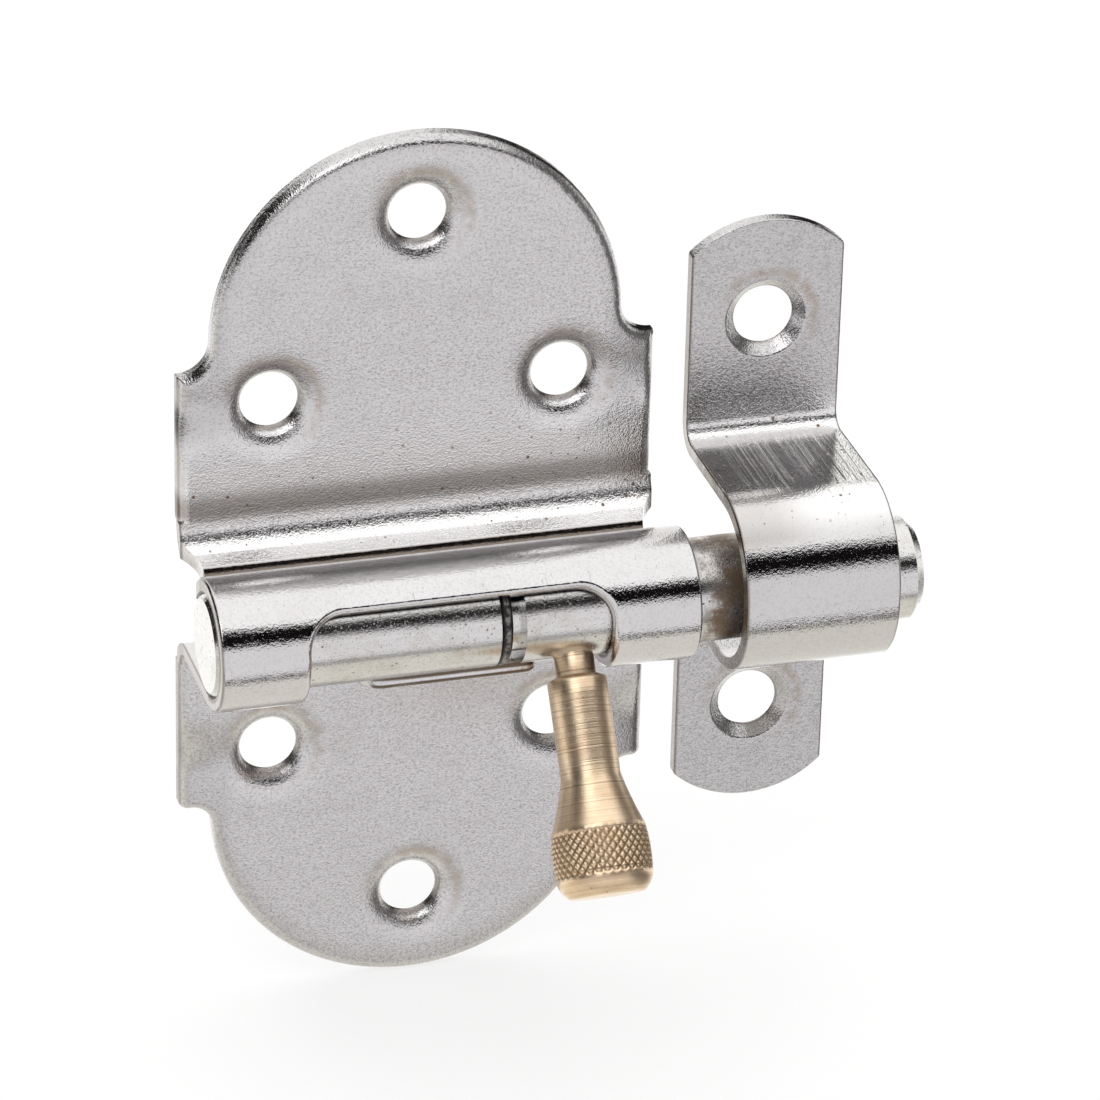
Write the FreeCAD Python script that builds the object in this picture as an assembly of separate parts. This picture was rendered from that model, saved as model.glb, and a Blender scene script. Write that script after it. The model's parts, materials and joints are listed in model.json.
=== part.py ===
import FreeCAD, Part
import math
import os

# Barrel bolt with a turning knob, a pressed case plate and a bent keep.
# Frame: X along the bolt, positive towards the keep; the wall is the plane Y = 0 and the
# object stands off it towards -Y; Z is up. The origin is the centre of the case's screw
# pattern on the wall plane. Sizes are in millimetres.

# Sheet of the case
sheet_t = 1.2
tray_depth = 1.7
rim_round = 1.0

# Case plate outline
plate_w = 44.0
lobe_step = 3.05
upper_lobe_z = 23.2
lower_lobe_z = -23.75
upper_notch_r = 2.9
lower_notch_r = 2.0
upper_shoulder_drop = 2.4
lower_shoulder_drop = 0.85
lower_corner_r = 0.8

# Screw holes of the case
case_hole_d = 5.35
case_dimple_d = 9.0
dimple_skirt_r = 9.0
dimple_skirt_deg = 8.0
dimple_fall_deg = 35.0
dimple_lip_r = 1.6
dimple_lip_deg = 75.0
dimple_seat_w = 0.9
side_hole_in = 8.55
side_hole_z = 17.45
end_hole_z = 34.35

# Bolt
bolt_d = 9.5
bolt_axis_y = -12.4
bolt_rear_out = 0.2
bolt_front_out = 2.9
tip_dome_h = 1.3
tip_break_r = 0.85
rear_chamfer = 0.5

# Barrel
bolt_clearance = 0.1
wall_bend_r = 1.5
shelf_join_z = 6.65
shelf_bend_r = 2.8
shelf_fall_deg = 27.0
crest_r = 0.5
crease_w = 2.25
valley_r = 1.5
relief_y = -5.2
relief_r = 3.8
relief_depth = 1.6
relief_low_z = 1.0

# Slot in the barrel
slot_end_wall = 8.1
slot_top_deg = 43.0
slot_corner_r = 3.3
slot_low_deg = -52.0
ledge_half_len = 8.1
ledge_front_y = -13.4
ledge_left_r = 2.2
ledge_right_r = 0.9
notch_back_y = -8.7
notch_corner_r = 1.2
slot_round = 0.45
barrel_end_round = 0.3

# Knob, its lengths taken along its own axis from the axis of the bolt
knob_rest_deg = -55.0
stem_d = 3.6
stem_reach = 6.4
shoulder_h = 0.4
grip_d = 5.4
grip_len = 8.8
flare_len = 4.8
flare_hollow = 0.1
knurl_start_d = 8.5
knurl_len = 4.2
knurl_bow = 0.15
knurl_end_d = 8.7
end_len = 1.7
end_bow = 0.25
knob_end_d = 6.8
spigot_reach = 1.5

# Spring ring and its groove in the bolt
groove_from_knob = 7.25
groove_w = 2.3
ring_wire_d = 1.1
ring_outer_gap = 0.03
ring_side_gap = 0.05
ring_floor_gap = 0.04
ring_open_deg = 40.0
ring_open_mid_deg = -84.0

# Keep
keep_gap = 3.4
keep_rise = 1.1
keep_w = 14.4
keep_t = 1.2
keep_half_h = 29.5
keep_end_r = 10.2
keep_hole_z = 19.75
keep_hole_d = 5.6
keep_sink_d = 7.7
keep_sink_deg = 45.0
loop_half_h = 8.5
loop_front_y = -20.7
loop_front_flat = 1.0
keep_bend_r = 1.5
keep_corner_r = 0.6
keep_edge_round = 0.2
keep_sink_round = 0.35

# Derived sizes
lobe_r = plate_w / 2.0 - lobe_step
side_hole_x = plate_w / 2.0 - side_hole_in
dimple_drop = tray_depth - sheet_t
bolt_r = bolt_d / 2.0
barrel_in_r = bolt_r + bolt_clearance
barrel_out_r = barrel_in_r + sheet_t
slot_half_len = plate_w / 2.0 - slot_end_wall
knob_x = (slot_half_len + ledge_half_len) / 2.0
groove_x0 = knob_x - groove_from_knob
groove_floor_r = bolt_r - ring_outer_gap - ring_wire_d - ring_floor_gap
keep_x = plate_w / 2.0 + keep_gap + keep_w / 2.0
loop_front_r = loop_half_h - loop_front_flat / 2.0
bolt_rear_x = -plate_w / 2.0 - bolt_rear_out
bolt_shoulder_x = keep_x + keep_w / 2.0 + bolt_front_out
margin = 1.0
near = 0.01


def vec(x, y, z):
    return FreeCAD.Vector(x, y, z)


def in_yz(y, z):
    return vec(0.0, y, z)


def on_circle(cy, cz, radius, deg):
    """Point of a circle in the YZ plane; 0 degrees looks out to -Y, 90 looks up."""
    rad = math.radians(deg)
    return in_yz(cy - radius * math.cos(rad), cz + radius * math.sin(rad))


def deg_on_circle(cy, cz, point):
    return math.degrees(math.atan2(point.z - cz, cy - point.y))


def run_to(start, way, centre, radius):
    """How far it is from a point, along a way of length 1, to the near side of a circle."""
    off = start - centre
    ahead = -off.dot(way)
    return ahead - math.sqrt(ahead ** 2 - off.dot(off) + radius ** 2)


def line(a, b):
    return Part.LineSegment(a, b).toShape()


def arc(cy, cz, radius, deg0, deg1):
    mid = on_circle(cy, cz, radius, (deg0 + deg1) / 2.0)
    start = on_circle(cy, cz, radius, deg0)
    end = on_circle(cy, cz, radius, deg1)
    return Part.Arc(start, mid, end).toShape()


def along_x(edges, x0, length):
    face = Part.Face(Part.Wire(Part.__sortEdges__(edges)))
    solid = face.extrude(vec(length, 0.0, 0.0))
    solid.translate(vec(x0, 0.0, 0.0))
    return solid


def at_xz(edge, x, z):
    """True for an edge that runs along Y at this x and z."""
    ends = [v.Point for v in edge.Vertexes]
    return all(abs(p.x - x) < near and abs(p.z - z) < near for p in ends)


def at_xy(edge, x, y):
    """True for an edge that runs along Z at this x and y."""
    ends = [v.Point for v in edge.Vertexes]
    return all(abs(p.x - x) < near and abs(p.y - y) < near for p in ends)


def samples(edge):
    """Both ends and the middle of an edge."""
    first, last = edge.ParameterRange
    return [edge.valueAt(t) for t in (first, (first + last) / 2.0, last)]


# Barrel: the middle of the case sheet, rolled round the bolt and open at the back
def barrel_section():
    cy = bolt_axis_y
    axis = in_yz(cy, 0.0)
    front = -tray_depth
    back = front + sheet_t
    low_bend_y = front - wall_bend_r
    low_bend_z = -barrel_out_r - wall_bend_r
    low_bend_out = wall_bend_r + sheet_t
    high_bend_y = front - shelf_bend_r
    high_bend_out = shelf_bend_r + sheet_t

    shelf_deg = 90.0 - shelf_fall_deg
    bend_end_deg = 180.0 + shelf_deg
    outward = on_circle(0.0, 0.0, 1.0, shelf_deg)
    along_shelf = in_yz(-outward.z, outward.y)
    foot = on_circle(high_bend_y, shelf_join_z, shelf_bend_r, bend_end_deg)
    reach = barrel_out_r + crest_r + crease_w
    brink = foot + along_shelf * run_to(foot - outward * crest_r, along_shelf, axis, reach)
    crest = brink - outward * crest_r

    far = barrel_out_r + valley_r
    close = crest_r + valley_r
    along = (far ** 2 - close ** 2 + reach ** 2) / (2.0 * reach)
    aside = math.sqrt(far ** 2 - along ** 2)
    to_crest = (crest - axis) * (1.0 / reach)
    valley = axis + to_crest * along + in_yz(-to_crest.z, to_crest.y) * aside
    wrap_deg = deg_on_circle(cy, 0.0, valley)
    turn_deg = deg_on_circle(crest.y, crest.z, valley)
    bulge_r = valley_r + sheet_t
    under = foot - outward * sheet_t
    neck = under + along_shelf * run_to(under, along_shelf, valley, bulge_r)
    neck_deg = deg_on_circle(valley.y, valley.z, neck) % 360.0 - 360.0

    edges = [arc(high_bend_y, shelf_join_z, shelf_bend_r, 180.0, bend_end_deg)]
    edges.append(line(foot, brink))
    edges.append(arc(crest.y, crest.z, crest_r, shelf_deg, turn_deg))
    edges.append(arc(valley.y, valley.z, valley_r, turn_deg + 180.0, wrap_deg + 180.0))
    edges.append(arc(cy, 0.0, barrel_out_r, wrap_deg, -90.0))
    edges.append(line(in_yz(cy, -barrel_out_r), in_yz(low_bend_y, -barrel_out_r)))
    edges.append(arc(low_bend_y, low_bend_z, wall_bend_r, 90.0, 180.0))
    edges.append(line(in_yz(front, low_bend_z), in_yz(back, low_bend_z)))
    edges.append(arc(low_bend_y, low_bend_z, low_bend_out, 180.0, 90.0))
    edges.append(line(in_yz(low_bend_y, -barrel_in_r), in_yz(cy, -barrel_in_r)))
    edges.append(arc(cy, 0.0, barrel_in_r, -90.0, wrap_deg))
    edges.append(arc(valley.y, valley.z, bulge_r, wrap_deg - 180.0, neck_deg))
    edges.append(line(neck, under))
    edges.append(arc(high_bend_y, shelf_join_z, high_bend_out, bend_end_deg, 180.0))
    edges.append(line(in_yz(back, shelf_join_z), in_yz(front, shelf_join_z)))
    return edges


def relief(side):
    """Round notch in one end of the barrel's neck, between the plate and the barrel."""
    centre_x = side * (plate_w / 2.0 + relief_r - relief_depth)
    return Part.makeCylinder(relief_r, shelf_join_z, vec(centre_x, relief_y, relief_low_z))


# Plate lobes: shallow trays with a rim turned back to the wall
def lobe_wire(side, lobe_z, notch_r, shoulder_drop, inset):
    """Outline of one lobe; side is 1 for the upper and -1 for the lower."""
    half_w = plate_w / 2.0 - inset
    radius = lobe_r - inset
    notch = notch_r + inset
    join_z = shelf_join_z
    if side < 0:
        join_z = barrel_out_r + wall_bend_r
    cz = side * lobe_z
    notch_z = cz - shoulder_drop + notch_r
    notch_x = math.sqrt((lobe_r + notch_r) ** 2 - (notch_z - cz) ** 2)
    meet_x = notch_x * radius / (lobe_r + notch_r)
    meet_z = cz + (notch_z - cz) * radius / (lobe_r + notch_r)
    start_x = min(notch_x, half_w)
    start_z = notch_z - math.sqrt(notch ** 2 - (notch_x - start_x) ** 2)
    start_rad = math.atan2(start_z - notch_z, start_x - notch_x)
    if start_rad > 0.0:
        start_rad -= 2.0 * math.pi
    meet_rad = math.atan2(meet_z - notch_z, meet_x - notch_x)
    if meet_rad > 0.0:
        meet_rad -= 2.0 * math.pi
    mid_rad = (start_rad + meet_rad) / 2.0
    mid_x = notch_x + notch * math.cos(mid_rad)
    mid_z = notch_z + notch * math.sin(mid_rad)

    def pt(x, z):
        return vec(x, 0.0, side * z)

    edges = [line(pt(-half_w, join_z), pt(half_w, join_z))]
    for sx in (-1.0, 1.0):
        start = pt(sx * start_x, start_z)
        corner = start
        if notch_x < half_w:
            corner = pt(sx * half_w, start_z)
            edges.append(line(corner, start))
        edges.append(line(pt(sx * half_w, join_z), corner))
        edges.append(Part.Arc(start, pt(sx * mid_x, mid_z), pt(sx * meet_x, meet_z)).toShape())
    top = pt(0.0, cz + radius)
    edges.append(Part.Arc(pt(-meet_x, meet_z), top, pt(meet_x, meet_z)).toShape())
    return Part.Wire(Part.__sortEdges__(edges))


def lobe(side):
    lobe_z = upper_lobe_z if side > 0 else lower_lobe_z
    notch_r = upper_notch_r if side > 0 else lower_notch_r
    drop = upper_shoulder_drop if side > 0 else lower_shoulder_drop
    outline = Part.Face(lobe_wire(side, lobe_z, notch_r, drop, 0.0))
    solid = outline.extrude(vec(0.0, -tray_depth, 0.0))
    join_z = shelf_join_z if side > 0 else -(barrel_out_r + wall_bend_r)
    if side < 0:
        shoulder_z = lobe_z + drop
        corners = [e for e in solid.Edges
                   if at_xz(e, plate_w / 2.0, shoulder_z) or at_xz(e, -plate_w / 2.0, shoulder_z)]
        solid = solid.makeFillet(lower_corner_r, corners)
    rim = []
    for e in solid.Edges:
        on_face = all(abs(v.Y + tray_depth) < near for v in e.Vertexes)
        on_join = all(abs(v.Z - join_z) < near for v in e.Vertexes)
        if on_face and not on_join:
            rim.append(e)
    solid = solid.makeFillet(rim_round, rim)
    pocket = Part.Face(lobe_wire(side, lobe_z, notch_r, drop, sheet_t))
    pocket = pocket.extrude(vec(0.0, -(tray_depth - sheet_t), 0.0))
    return solid.cut(pocket)


def dimple(x, z):
    """Ring of the plate pressed back to the wall round one screw hole. Seen in section, its
    face falls into the hole in three arcs, each tighter and steeper than the last."""
    face_y = -tray_depth
    back_y = face_y + sheet_t
    hole_r = case_hole_d / 2.0
    skirt_rad = math.radians(dimple_skirt_deg)
    fall_rad = math.radians(dimple_fall_deg)
    lip_rad = math.radians(dimple_lip_deg)
    lip_run = dimple_lip_r * (math.sin(lip_rad) - math.sin(fall_rad))
    fall_run = case_dimple_d / 2.0 - hole_r - lip_run
    fall_r = fall_run / (math.sin(fall_rad) - math.sin(skirt_rad))
    out_r = case_dimple_d / 2.0 + dimple_skirt_r * math.sin(skirt_rad)
    spans = [(dimple_skirt_r, 0.0, skirt_rad)]
    spans.append((fall_r, skirt_rad, fall_rad))
    spans.append((dimple_lip_r, fall_rad, lip_rad))

    run = out_r
    depth = face_y
    edges = []
    for radius, start, end in spans:
        mid = (start + end) / 2.0
        places = []
        for turn in (start, mid, end):
            back = radius * (math.sin(turn) - math.sin(start))
            fall = radius * (math.cos(start) - math.cos(turn))
            places.append(vec(run - back, depth + fall, 0.0))
        edges.append(Part.Arc(places[0], places[1], places[2]).toShape())
        run = places[2].x
        depth = places[2].y
    pts = [vec(run, depth, 0.0), vec(hole_r, back_y + dimple_drop, 0.0)]
    pts.append(vec(hole_r + dimple_seat_w, back_y + dimple_drop, 0.0))
    pts.append(vec(out_r, back_y, 0.0))
    pts.append(vec(out_r, face_y, 0.0))
    edges += [line(a, b) for a, b in zip(pts, pts[1:])]
    ring = Part.Face(Part.Wire(edges)).revolve(vec(0, 0, 0), vec(0, 1, 0), 360.0)
    blank = Part.makeCylinder(out_r, sheet_t, vec(0.0, face_y, 0.0), vec(0, 1, 0))
    for s in (ring, blank):
        s.translate(vec(x, 0.0, z))
    return ring, blank


def slot_cutter():
    top = Part.makePlane(2.0 * slot_half_len, 2.0 * margin + sheet_t)
    top.rotate(vec(0, 0, 0), vec(1, 0, 0), 90.0)
    top.translate(vec(-slot_half_len, 0.0, barrel_in_r - margin))
    sweep = slot_top_deg - slot_low_deg
    sector = top.revolve(vec(0, 0, 0), vec(1, 0, 0), sweep)
    sector.rotate(vec(0, 0, 0), vec(1, 0, 0), 90.0 - slot_top_deg)
    sector.translate(vec(0.0, bolt_axis_y, 0.0))
    corners = []
    for e in sector.Edges:
        degs = [deg_on_circle(bolt_axis_y, 0.0, v.Point) for v in e.Vertexes]
        at_end = all(abs(abs(v.X) - slot_half_len) < near for v in e.Vertexes)
        same_x = abs(e.Vertexes[0].X - e.Vertexes[-1].X) < near
        if at_end and same_x and all(abs(d - slot_top_deg) < near for d in degs):
            corners.append(e)
    sector = sector.makeFillet(slot_corner_r, corners)

    front_y = bolt_axis_y - barrel_out_r - margin
    low_z = -barrel_out_r - margin
    high_z = barrel_in_r * math.sin(math.radians(slot_low_deg)) + bolt_clearance
    ends = (-slot_half_len, slot_half_len)
    ledge_ends = (ledge_half_len, -ledge_half_len)
    plan = [vec(x, front_y, low_z) for x in ends]
    plan.append(vec(slot_half_len, notch_back_y, low_z))
    plan.append(vec(ledge_half_len, notch_back_y, low_z))
    plan += [vec(x, ledge_front_y, low_z) for x in ledge_ends]
    plan.append(vec(-ledge_half_len, notch_back_y, low_z))
    plan.append(vec(-slot_half_len, notch_back_y, low_z))
    plan.append(plan[0])
    under = Part.Face(Part.makePolygon(plan)).extrude(vec(0.0, 0.0, high_z - low_z))
    backs = [(x, notch_back_y) for x in ends + ledge_ends]
    rounds = [(notch_corner_r, backs)]
    rounds.append((ledge_right_r, [(ledge_half_len, ledge_front_y)]))
    rounds.append((ledge_left_r, [(-ledge_half_len, ledge_front_y)]))
    for radius, spots in rounds:
        picked = [e for e in under.Edges if any(at_xy(e, x, y) for x, y in spots)]
        under = under.makeFillet(radius, picked)
    return sector.fuse(under)


def match_edges(shape, wanted):
    """The edges of a shape that lie where the wanted edges lay before the last change."""
    found = []
    for e in shape.Edges:
        mid = samples(e)[1]
        if any(mid.distanceToPoint(samples(w)[1]) < near for w in wanted):
            found.append(e)
    return found


def off_barrel(p):
    """How far a point lies from the barrel's outer face, its flat bottom included."""
    if p.y > bolt_axis_y and p.z < 0.0:
        return abs(p.z + barrel_out_r)
    return abs(math.hypot(p.y - bolt_axis_y, p.z) - barrel_out_r)


def round_barrel(case):
    """Rounds the outer edges that the shears left round the slot and at both ends."""
    half = plate_w / 2.0
    slot_top_z = barrel_out_r * math.sin(math.radians(slot_top_deg))
    rims = []
    ends = []
    for e in case.Edges:
        pts = samples(e)
        if any(off_barrel(p) > near for p in pts):
            continue
        if all(abs(p.y - bolt_axis_y) < near and p.z < 0.0 for p in pts):
            continue
        if all(abs(abs(p.x) - half) < near for p in pts):
            ends.append(e)
        elif all(abs(p.x) < slot_half_len + near and p.z < slot_top_z + near for p in pts):
            rims.append(e)
    case = case.makeFillet(slot_round, rims)
    return case.makeFillet(barrel_end_round, match_edges(case, ends))


def make_case():
    case = along_x(barrel_section(), -plate_w / 2.0, plate_w)
    case = case.cut(relief(1).fuse(relief(-1)))
    case = case.fuse([lobe(1), lobe(-1)])
    spots = [(sx * side_hole_x, sz * side_hole_z) for sx in (-1, 1) for sz in (-1, 1)]
    spots += [(0.0, end_hole_z), (0.0, -end_hole_z)]
    rings = []
    for x, z in spots:
        ring, blank = dimple(x, z)
        case = case.cut(blank)
        rings.append(ring)
    case = case.fuse(rings)
    case = case.cut(slot_cutter())
    return round_barrel(case.removeSplitter())


# Bolt: a plain rod with a ring groove, a domed tip and a tapped hole for the knob
def knob_dir():
    rad = math.radians(knob_rest_deg)
    return vec(0.0, -math.cos(rad), math.sin(rad))


def make_bolt():
    base = vec(bolt_rear_x, bolt_axis_y, 0.0)
    rod = Part.makeCylinder(bolt_r, bolt_shoulder_x - bolt_rear_x, base, vec(1, 0, 0))
    rear = [e for e in rod.Edges if all(abs(v.X - bolt_rear_x) < near for v in e.Vertexes)]
    rear = [e for e in rear if e.Closed]
    rod = rod.makeChamfer(rear_chamfer, rear)

    rim_r = bolt_r - tip_break_r
    dome_h = tip_dome_h - tip_break_r
    ball_r = (rim_r ** 2 + dome_h ** 2) / (2.0 * dome_h)
    tip_x = bolt_shoulder_x + tip_dome_h
    half_deg = math.asin(rim_r / ball_r) / 2.0
    p0 = vec(bolt_shoulder_x, 0.0, 0.0)
    p1 = vec(bolt_shoulder_x, bolt_r, 0.0)
    p2 = vec(bolt_shoulder_x + tip_break_r, rim_r, 0.0)
    p3 = vec(tip_x - ball_r + ball_r * math.cos(half_deg), ball_r * math.sin(half_deg), 0.0)
    p4 = vec(tip_x, 0.0, 0.0)
    dome = Part.Wire([line(p0, p1), line(p1, p2), Part.Arc(p2, p3, p4).toShape(), line(p4, p0)])
    dome = Part.Face(dome).revolve(vec(0, 0, 0), vec(1, 0, 0), 360.0)
    dome.translate(vec(0.0, bolt_axis_y, 0.0))
    rod = rod.fuse(dome)

    start = vec(groove_x0, bolt_axis_y, 0.0)
    groove = Part.makeCylinder(bolt_r + margin, groove_w, start, vec(1, 0, 0))
    groove = groove.cut(Part.makeCylinder(groove_floor_r, groove_w, start, vec(1, 0, 0)))
    rod = rod.cut(groove)
    axis = knob_dir()
    hole_base = vec(knob_x, bolt_axis_y, 0.0) - axis * spigot_reach
    rod = rod.cut(Part.makeCylinder(stem_d / 2.0, bolt_r + spigot_reach + margin, hole_base, axis))
    return rod.removeSplitter()


# Knob: turned piece, its profile given as (distance from the bolt's axis, radius)
def bowed(a, b, bow):
    """Arc from a to b whose middle stands off the straight line by bow, away from the axis."""
    chord = b - a
    off = vec(-chord.y, chord.x, 0.0)
    off.normalize()
    return Part.Arc(a, (a + b) / 2.0 + off * bow, b).toShape()


def make_knob():
    def pt(run, radius):
        return vec(run, radius, 0.0)

    grip_start = stem_reach + shoulder_h
    flare_start = grip_start + grip_len
    knurl_start = flare_start + flare_len
    knurl_end = knurl_start + knurl_len
    knob_end = knurl_end + end_len
    foot = pt(-spigot_reach, stem_d / 2.0)
    neck = pt(stem_reach, stem_d / 2.0)
    grip_a = pt(grip_start, grip_d / 2.0)
    grip_b = pt(flare_start, grip_d / 2.0)
    knurl_a = pt(knurl_start, knurl_start_d / 2.0)
    knurl_b = pt(knurl_end, knurl_end_d / 2.0)
    rim = pt(knob_end, knob_end_d / 2.0)
    edges = [line(pt(-spigot_reach, 0.0), foot)]
    edges.append(line(foot, neck))
    edges.append(line(neck, grip_a))
    edges.append(line(grip_a, grip_b))
    edges.append(bowed(grip_b, knurl_a, -flare_hollow))
    edges.append(bowed(knurl_a, knurl_b, knurl_bow))
    edges.append(bowed(knurl_b, rim, end_bow))
    edges.append(line(rim, pt(knob_end, 0.0)))
    edges.append(line(pt(knob_end, 0.0), pt(-spigot_reach, 0.0)))
    knob = Part.Face(Part.Wire(edges)).revolve(vec(0, 0, 0), vec(1, 0, 0), 360.0)
    knob.Placement = FreeCAD.Placement(vec(knob_x, bolt_axis_y, 0.0),
                                       FreeCAD.Rotation(vec(1, 0, 0), knob_dir()))
    return knob


# Spring ring: open ring of round wire in the bolt's groove
def make_spring_ring():
    wire_r = ring_wire_d / 2.0
    mean_r = groove_floor_r + ring_floor_gap + wire_r
    centre_x = groove_x0 + ring_side_gap + wire_r
    section = Part.Face(Part.Wire(Part.makeCircle(wire_r, vec(0.0, 0.0, mean_r), vec(0, 1, 0))))
    ring = section.revolve(vec(0, 0, 0), vec(1, 0, 0), 360.0 - ring_open_deg)
    ring.rotate(vec(0, 0, 0), vec(1, 0, 0), 90.0 - ring_open_mid_deg + ring_open_deg / 2.0)
    ring.translate(vec(centre_x, bolt_axis_y, 0.0))
    return ring


# Keep: one bent strap with a screw hole in each flange
def keep_section():
    front = -keep_t
    bend_y = front - keep_bend_r
    outer_z = loop_half_h
    inner_z = loop_half_h - keep_t
    bend_z = outer_z + keep_bend_r
    round_y = loop_front_y + loop_front_r
    round_z = loop_half_h - loop_front_r
    in_r = loop_front_r - keep_t
    back_r = keep_bend_r + keep_t
    edges = []
    for s in (1.0, -1.0):
        a90 = s * 90.0
        edges.append(line(in_yz(0.0, s * keep_half_h), in_yz(front, s * keep_half_h)))
        edges.append(line(in_yz(front, s * keep_half_h), in_yz(front, s * bend_z)))
        edges.append(arc(bend_y, s * bend_z, keep_bend_r, s * 180.0, s * 270.0))
        edges.append(line(in_yz(bend_y, s * outer_z), in_yz(round_y, s * outer_z)))
        edges.append(arc(round_y, s * round_z, loop_front_r, a90, 0.0))
        edges.append(arc(round_y, s * round_z, in_r, a90, 0.0))
        edges.append(line(in_yz(bend_y, s * inner_z), in_yz(round_y, s * inner_z)))
        edges.append(arc(bend_y, s * bend_z, back_r, s * 180.0, s * 270.0))
        edges.append(line(in_yz(0.0, s * bend_z), in_yz(0.0, s * keep_half_h)))
    for y in (loop_front_y, loop_front_y + keep_t):
        edges.append(line(in_yz(y, round_z), in_yz(y, -round_z)))
    return edges


def off_keep_face(p):
    """How far a point lies from the outer face of the bent strap."""
    z = abs(p.z)
    bend_y = -keep_t - keep_bend_r
    bend_z = loop_half_h + keep_bend_r
    round_y = loop_front_y + loop_front_r
    round_z = loop_half_h - loop_front_r
    if z >= bend_z:
        return abs(p.y + keep_t)
    if p.y >= bend_y and z > loop_half_h - keep_t / 2.0:
        return abs(math.hypot(p.y - bend_y, z - bend_z) - keep_bend_r)
    if p.y >= round_y:
        return abs(z - loop_half_h)
    if z >= round_z:
        return abs(math.hypot(p.y - round_y, z - round_z) - loop_front_r)
    return abs(p.y - loop_front_y)


def round_keep(keep):
    """Rounds the outer edges of the strap and the rims of its countersinks."""
    half = keep_w / 2.0
    border = []
    sinks = []
    for e in keep.Edges:
        pts = samples(e)
        if any(off_keep_face(p) > near for p in pts):
            continue
        mid = pts[1]
        from_hole = math.hypot(mid.x - keep_x, abs(mid.z) - keep_hole_z)
        if abs(from_hole - keep_sink_d / 2.0) < near:
            sinks.append(e)
        elif abs(abs(mid.x - keep_x) - half) < near or abs(mid.z) > keep_hole_z + keep_sink_d / 2.0:
            border.append(e)
    keep = keep.makeFillet(keep_edge_round, border)
    return keep.makeFillet(keep_sink_round, match_edges(keep, sinks))


def make_keep():
    keep = along_x(keep_section(), keep_x - keep_w / 2.0, keep_w)
    half = keep_w / 2.0
    sag = keep_end_r - math.sqrt(keep_end_r ** 2 - half ** 2)
    sink_depth = (keep_sink_d - keep_hole_d) / 2.0 * math.tan(math.radians(keep_sink_deg))
    for s in (1.0, -1.0):
        corner_z = s * (keep_half_h - sag)
        pts = [vec(keep_x - half, 0, corner_z), vec(keep_x, 0, s * keep_half_h),
               vec(keep_x + half, 0, corner_z)]
        top_z = s * (keep_half_h + margin)
        end = [Part.Arc(pts[0], pts[1], pts[2]).toShape(),
               line(pts[2], vec(keep_x + half, 0, top_z)),
               line(vec(keep_x + half, 0, top_z), vec(keep_x - half, 0, top_z)),
               line(vec(keep_x - half, 0, top_z), pts[0])]
        cutter = Part.Face(Part.Wire(end)).extrude(vec(0.0, -keep_t, 0.0))
        keep = keep.cut(cutter)
        corners = [e for e in keep.Edges
                   if at_xz(e, keep_x - half, corner_z) or at_xz(e, keep_x + half, corner_z)]
        keep = keep.makeFillet(keep_corner_r, corners)
        hole_z = s * keep_hole_z
        hole = Part.makeCylinder(keep_hole_d / 2.0, keep_t, vec(keep_x, -keep_t, hole_z), vec(0, 1, 0))
        sink = Part.makeCone(keep_sink_d / 2.0, keep_hole_d / 2.0, sink_depth,
                             vec(keep_x, -keep_t, hole_z), vec(0, 1, 0))
        keep = keep.cut(hole.fuse(sink))
    keep = round_keep(keep.removeSplitter())
    keep.translate(vec(0.0, 0.0, keep_rise))
    return keep


def main():
    os.makedirs("parts", exist_ok=True)
    pieces = {"case": make_case(), "bolt": make_bolt(), "knob": make_knob(),
              "spring_ring": make_spring_ring(), "keep": make_keep()}
    for name, shape in pieces.items():
        solids = shape.Solids
        if len(solids) != 1:
            raise RuntimeError(name + " has " + str(len(solids)) + " solids")
        if not shape.isValid():
            raise RuntimeError(name + " is not valid")
        solids[0].exportStep("parts/" + name + ".step")
        b = shape.BoundBox
        print(name, "volume", round(solids[0].Volume, 2),
              [round(v, 2) for v in (b.XMin, b.XMax, b.YMin, b.YMax, b.ZMin, b.ZMax)])


main()
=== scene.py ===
# %% [markdown]
# A barrel bolt: a pressed steel case with a rolled barrel, a round rod that slides in it, a
# turned brass knob that works the rod, a spring ring that grips it, and a bent strap keep.
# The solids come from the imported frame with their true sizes. This lesson gives them their
# finishes, cuts the knob's knurling, and sets the light and the camera.

# %% Load the frame
import bmesh
import bpy
import json
import math
from mathutils import Matrix, Vector


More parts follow.
